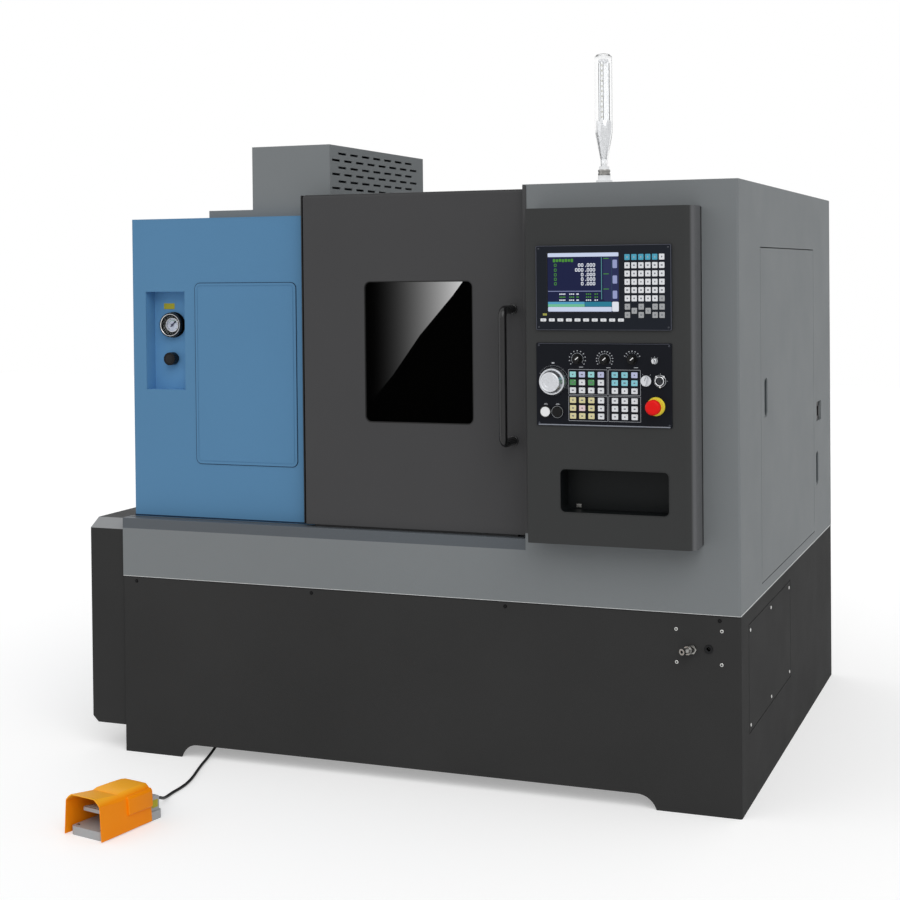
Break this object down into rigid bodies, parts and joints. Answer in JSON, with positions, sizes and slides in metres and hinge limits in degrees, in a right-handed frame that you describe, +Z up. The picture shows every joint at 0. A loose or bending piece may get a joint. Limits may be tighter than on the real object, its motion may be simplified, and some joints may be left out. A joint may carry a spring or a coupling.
{
  "type": "cnc turning lathe",
  "caption": "Enclosed slant-bed turning lathe with sliding door, control console, power chuck, tool turret and foot switch.",
  "frame": {"origin": "middle of the machine's outline on the floor, the foot switch and its cable left out", "axes": "+X along the spindle towards the control console's side, +Y to the back, +Z up"},
  "size_m": [2.14, 2.522, 2.177],
  "materials": {
    "grey_paint": "semi-gloss",
    "black_paint": "satin",
    "blue_paint": "semi-gloss",
    "door_black": "satin",
    "rail_grey": "satin",
    "console_paint": "satin",
    "bright_screws": "polished",
    "nickel": "satin",
    "drives": "matt",
    "gauge_case": "satin",
    "lamp_core": "gloss",
    "clear_tube": "clear",
    "unit_grey": "matt",
    "screen": "gloss",
    "white_keys": "matt",
    "panel_black": "matt",
    "pale_keys": "matt",
    "cast_grey": "painted",
    "motor_black": "satin",
    "belt": "matt",
    "liner_steel": "satin",
    "switch_grey": "satin",
    "orange_paint": "gloss",
    "cable_black": "matt",
    "window_glass": "gloss",
    "handle_black": "gloss",
    "ground_steel": "ground",
    "chuck_steel": "ground",
    "cylinder_aluminium": "satin",
    "turret_steel": "ground",
    "silver_dial": "satin",
    "knob_black": "gloss",
    "chrome_parts": "polished",
    "white_button": "gloss",
    "estop_red": "gloss",
    "pedal_grey": "satin"
  },
  "bodies": {
    "machine": {"base_plinth": "black_paint", "panel_screws": "bright_screws", "coolant_fittings": "nickel", "motor_cover": "black_paint", "front_fascia": "grey_paint", "door_rail": "rail_grey", "enclosure_shell": "grey_paint", "electrical_plate": "drives", "headstock_cover": "blue_paint", "access_cover": "blue_paint", "air_unit": "gauge_case", "vent_hood": "grey_paint", "lamp_core": "lamp_core", "lamp_tube": "clear_tube", "console_housing": "console_paint", "control_unit": "unit_grey", "display_screen": "screen", "control_keys": "white_keys", "operator_panel": "panel_black", "panel_keys": "pale_keys", "headstock": "cast_grey", "spindle_motor": "motor_black", "drive_belt": "belt", "bed_casting": "cast_grey", "z_servo": "motor_black", "chamber_liner": "liner_steel", "foot_base": "switch_grey", "foot_guard": "orange_paint", "foot_cable": "cable_black"},
    "door": {"door_panel": "door_black", "door_window": "window_glass", "door_handle": "handle_black"},
    "service_door": {"service_door": "grey_paint"},
    "cabinet_door": {"cabinet_door": "grey_paint"},
    "spindle": {"spindle": "ground_steel", "chuck_body": "chuck_steel", "hydraulic_cylinder": "cylinder_aluminium"},
    "chuck_jaw_1": {"chuck_jaw_1": "chuck_steel"},
    "chuck_jaw_2": {"chuck_jaw_2": "chuck_steel"},
    "chuck_jaw_3": {"chuck_jaw_3": "chuck_steel"},
    "motor_pulley": {"motor_pulley": "ground_steel"},
    "saddle": {"saddle": "cast_grey", "x_servo": "motor_black"},
    "cross_slide": {"cross_slide": "cast_grey"},
    "turret": {"turret_disc": "turret_steel"},
    "z_screw": {"z_ball_screw": "ground_steel"},
    "x_screw": {"x_ball_screw": "ground_steel"},
    "handwheel": {"handwheel": "silver_dial"},
    "override_knob_1": {"override_knob_1": "knob_black"},
    "override_knob_2": {"override_knob_2": "knob_black"},
    "override_knob_3": {"override_knob_3": "knob_black"},
    "selector_switch": {"selector_switch": "silver_dial"},
    "ring_lock": {"ring_lock": "chrome_parts"},
    "key_switch": {"key_switch": "chrome_parts"},
    "start_button": {"start_button": "white_button"},
    "hold_button": {"hold_button": "knob_black"},
    "estop_head": {"estop_head": "estop_red"},
    "foot_pedal": {"foot_pedal": "pedal_grey"},
    "regulator_knob": {"regulator_knob": "knob_black"},
    "gauge_needle": {"gauge_needle": "knob_black"}
  },
  "joints": [
    {"name": "door_slide", "type": "slide", "parent": "machine", "child": "door", "axis": [-1, 0, 0], "range_m": [0, 0.64]},
    {"name": "service_door_hinge", "type": "hinge", "parent": "machine", "child": "service_door", "pos_m": [1.068, 0.545, 1.1075], "axis": [0, 0, 1], "range_deg": [0, 100]},
    {"name": "cabinet_door_hinge", "type": "hinge", "parent": "machine", "child": "cabinet_door", "pos_m": [0.645, 0.949, 1.17], "axis": [0, 0, -1], "range_deg": [0, 110]},
    {"name": "spindle_turn", "type": "hinge", "parent": "machine", "child": "spindle", "pos_m": [-0.147, -0.321, 1.08], "axis": [1, 0, 0], "continuous": true},
    {"name": "motor_turn", "type": "hinge", "parent": "machine", "child": "motor_pulley", "pos_m": [-0.598, -0.321, 0.4], "axis": [1, 0, 0], "continuous": true},
    {"name": "jaw_1_slide", "type": "slide", "parent": "spindle", "child": "chuck_jaw_1", "axis": [0, 0, 1], "range_m": [0, 0.0027]},
    {"name": "jaw_2_slide", "type": "slide", "parent": "spindle", "child": "chuck_jaw_2", "axis": [0, -0.866, -0.5], "range_m": [0, 0.0027]},
    {"name": "jaw_3_slide", "type": "slide", "parent": "spindle", "child": "chuck_jaw_3", "axis": [0, 0.866, -0.5], "range_m": [0, 0.0027]},
    {"name": "saddle_feed", "type": "slide", "parent": "machine", "child": "saddle", "axis": [-1, 0, 0], "range_m": [0, 0.34]},
    {"name": "z_screw_turn", "type": "hinge", "parent": "machine", "child": "z_screw", "pos_m": [0.818, 0.07627, 0.92235], "axis": [1, 0, 0], "range_deg": [0, 12250]},
    {"name": "cross_feed", "type": "slide", "parent": "saddle", "child": "cross_slide", "axis": [0, -0.8192, -0.5736], "range_m": [0, 0.185]},
    {"name": "x_screw_turn", "type": "hinge", "parent": "saddle", "child": "x_screw", "pos_m": [0.528, 0.28112, 1.19641], "axis": [0, 0.8192, 0.5736], "range_deg": [0, 6670]},
    {"name": "turret_index", "type": "hinge", "parent": "cross_slide", "child": "turret", "pos_m": [0.448, -0.00153, 1.30369], "axis": [1, 0, 0], "continuous": true},
    {"name": "handwheel_turn", "type": "hinge", "parent": "machine", "child": "handwheel", "pos_m": [0.5565, -0.905, 1.231], "axis": [0, 1, 0], "continuous": true},
    {"name": "override_knob_1_turn", "type": "hinge", "parent": "machine", "child": "override_knob_1", "pos_m": [0.6285, -0.905, 1.295], "axis": [0, 1, 0], "range_deg": [-185, 85]},
    {"name": "override_knob_2_turn", "type": "hinge", "parent": "machine", "child": "override_knob_2", "pos_m": [0.7085, -0.905, 1.294], "axis": [0, 1, 0], "range_deg": [-185, 85]},
    {"name": "override_knob_3_turn", "type": "hinge", "parent": "machine", "child": "override_knob_3", "pos_m": [0.788, -0.905, 1.295], "axis": [0, 1, 0], "range_deg": [-185, 85]},
    {"name": "selector_turn", "type": "hinge", "parent": "machine", "child": "selector_switch", "pos_m": [0.829, -0.905, 1.2365], "axis": [0, 1, 0], "range_deg": [-57, 33]},
    {"name": "ring_lock_turn", "type": "hinge", "parent": "machine", "child": "ring_lock", "pos_m": [0.8685, -0.905, 1.2365], "axis": [0, 1, 0], "range_deg": [0, 90]},
    {"name": "key_switch_turn", "type": "hinge", "parent": "machine", "child": "key_switch", "pos_m": [0.852, -0.905, 1.292], "axis": [0, 1, 0], "range_deg": [-45, 45]},
    {"name": "start_button_press", "type": "slide", "parent": "machine", "child": "start_button", "axis": [0, 1, 0], "range_m": [0, 0.004], "stiffness_N_per_m": 400},
    {"name": "hold_button_press", "type": "slide", "parent": "machine", "child": "hold_button", "axis": [0, 1, 0], "range_m": [0, 0.004], "stiffness_N_per_m": 400},
    {"name": "estop_press", "type": "slide", "parent": "machine", "child": "estop_head", "axis": [0, 1, 0], "range_m": [0, 0.006]},
    {"name": "pedal_press", "type": "hinge", "parent": "machine", "child": "foot_pedal", "pos_m": [-0.56458, -1.40348, 0.05], "axis": [0.9781, -0.2079, 0], "range_deg": [0, 8], "stiffness_Nm_per_rad": 2.5, "springref_deg": -22.92},
    {"name": "regulator_knob_turn", "type": "hinge", "parent": "machine", "child": "regulator_knob", "pos_m": [-0.806, -0.692, 1.271], "axis": [0, 1, 0], "range_deg": [-720, 720]},
    {"name": "gauge_needle_turn", "type": "hinge", "parent": "machine", "child": "gauge_needle", "pos_m": [-0.806, -0.702, 1.381], "axis": [0, 1, 0], "range_deg": [-180, 90], "stiffness_Nm_per_rad": 0.001}
  ],
  "couplings": [
    {"joint": "jaw_2_slide", "follows": "jaw_1_slide", "ratio": 1},
    {"joint": "jaw_3_slide", "follows": "jaw_1_slide", "ratio": 1},
    {"joint": "motor_turn", "follows": "spindle_turn", "ratio": 1.4286},
    {"joint": "z_screw_turn", "follows": "saddle_feed", "rad_per_m": 628.32},
    {"joint": "x_screw_turn", "follows": "cross_feed", "rad_per_m": 628.32}
  ]
}
